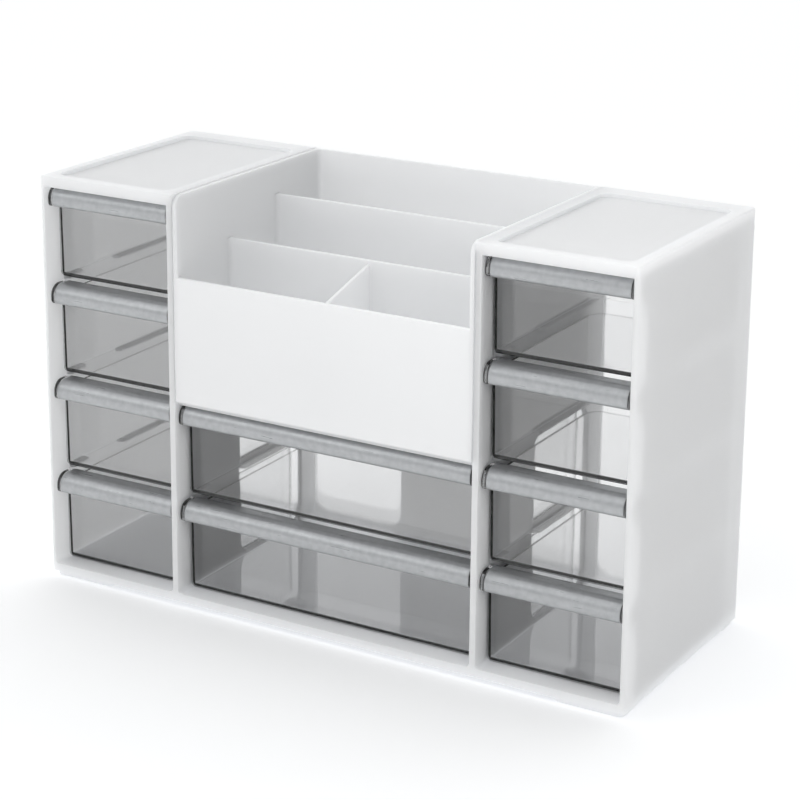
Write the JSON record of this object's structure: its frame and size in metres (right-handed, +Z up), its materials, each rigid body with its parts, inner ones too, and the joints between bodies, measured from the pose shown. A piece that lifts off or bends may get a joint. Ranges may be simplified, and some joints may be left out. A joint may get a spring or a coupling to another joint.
{
  "type": "desktop drawer organizer",
  "caption": "Desk organizer with clear small drawers in two towers, wide drawers between them and an open stepped tray on top.",
  "frame": {"origin": "middle of the footprint, in the plane of the desk under the feet", "axes": "+Z up, drawers open towards -Y, +X to the right as seen from the front"},
  "size_m": [0.34, 0.135, 0.2205],
  "materials": {
    "white_plastic": "satin white moulding",
    "smoke_plastic": "clear smoke grey, polished",
    "satin_grey_plastic": "satin silver grey"
  },
  "bodies": {
    "case": {"case": "white_plastic", "organizer_tray": "white_plastic"},
    "drawer_left_1": {"drawer_left_1": "smoke_plastic", "handle_left_1": "satin_grey_plastic"},
    "drawer_left_2": {"drawer_left_2": "smoke_plastic", "handle_left_2": "satin_grey_plastic"},
    "drawer_left_3": {"drawer_left_3": "smoke_plastic", "handle_left_3": "satin_grey_plastic"},
    "drawer_left_4": {"drawer_left_4": "smoke_plastic", "handle_left_4": "satin_grey_plastic"},
    "drawer_right_1": {"drawer_right_1": "smoke_plastic", "handle_right_1": "satin_grey_plastic"},
    "drawer_right_2": {"drawer_right_2": "smoke_plastic", "handle_right_2": "satin_grey_plastic"},
    "drawer_right_3": {"drawer_right_3": "smoke_plastic", "handle_right_3": "satin_grey_plastic"},
    "drawer_right_4": {"drawer_right_4": "smoke_plastic", "handle_right_4": "satin_grey_plastic"},
    "drawer_centre_1": {"drawer_centre_1": "smoke_plastic", "handle_centre_1": "satin_grey_plastic"},
    "drawer_centre_2": {"drawer_centre_2": "smoke_plastic", "handle_centre_2": "satin_grey_plastic"}
  },
  "joints": [
    {"name": "slide_left_1", "type": "slide", "parent": "case", "child": "drawer_left_1", "axis": [0, -1, 0], "range_m": [0, 0.08]},
    {"name": "slide_left_2", "type": "slide", "parent": "case", "child": "drawer_left_2", "axis": [0, -1, 0], "range_m": [0, 0.08]},
    {"name": "slide_left_3", "type": "slide", "parent": "case", "child": "drawer_left_3", "axis": [0, -1, 0], "range_m": [0, 0.08]},
    {"name": "slide_left_4", "type": "slide", "parent": "case", "child": "drawer_left_4", "axis": [0, -1, 0], "range_m": [0, 0.08]},
    {"name": "slide_right_1", "type": "slide", "parent": "case", "child": "drawer_right_1", "axis": [0, -1, 0], "range_m": [0, 0.08]},
    {"name": "slide_right_2", "type": "slide", "parent": "case", "child": "drawer_right_2", "axis": [0, -1, 0], "range_m": [0, 0.08]},
    {"name": "slide_right_3", "type": "slide", "parent": "case", "child": "drawer_right_3", "axis": [0, -1, 0], "range_m": [0, 0.08]},
    {"name": "slide_right_4", "type": "slide", "parent": "case", "child": "drawer_right_4", "axis": [0, -1, 0], "range_m": [0, 0.08]},
    {"name": "slide_centre_1", "type": "slide", "parent": "case", "child": "drawer_centre_1", "axis": [0, -1, 0], "range_m": [0, 0.08]},
    {"name": "slide_centre_2", "type": "slide", "parent": "case", "child": "drawer_centre_2", "axis": [0, -1, 0], "range_m": [0, 0.08]}
  ]
}
